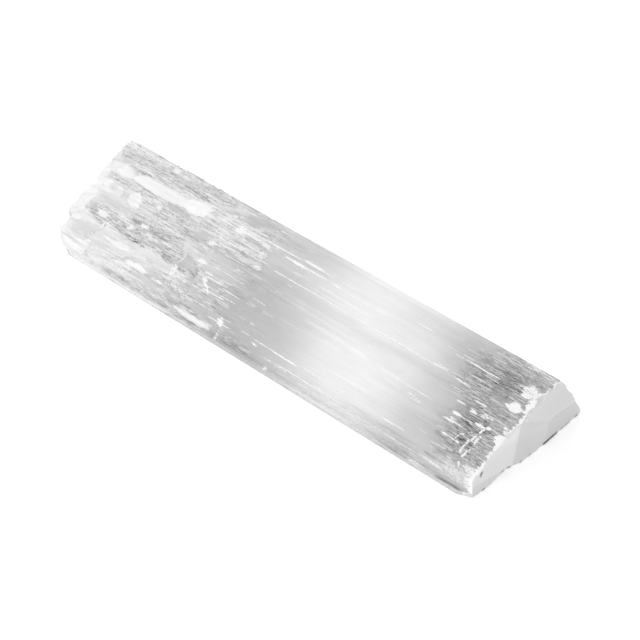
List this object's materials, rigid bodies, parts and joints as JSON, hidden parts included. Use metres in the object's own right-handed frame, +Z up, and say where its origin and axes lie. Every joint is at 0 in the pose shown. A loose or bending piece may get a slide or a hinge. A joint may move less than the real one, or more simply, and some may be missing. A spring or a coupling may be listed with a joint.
{
  "type": "selenite wand",
  "caption": "Raw stick of fibrous satin spar gypsum with a flat underside, sloping grooved top, smooth snapped end and stepped splintered end.",
  "frame": {"origin": "centre of the bounding box in X and Y, on the surface that the wand lies on", "axes": "+X along the fibres towards the smooth snapped end, +Y from the low front side towards the high crest at the back, +Z up"},
  "size_m": [0.1332, 0.0376, 0.0137],
  "materials": {
    "selenite": "silky satin along the fibres, translucent, chalk white where bruised"
  },
  "bodies": {
    "root": {"selenite_wand": "selenite"}
  },
  "joints": []
}
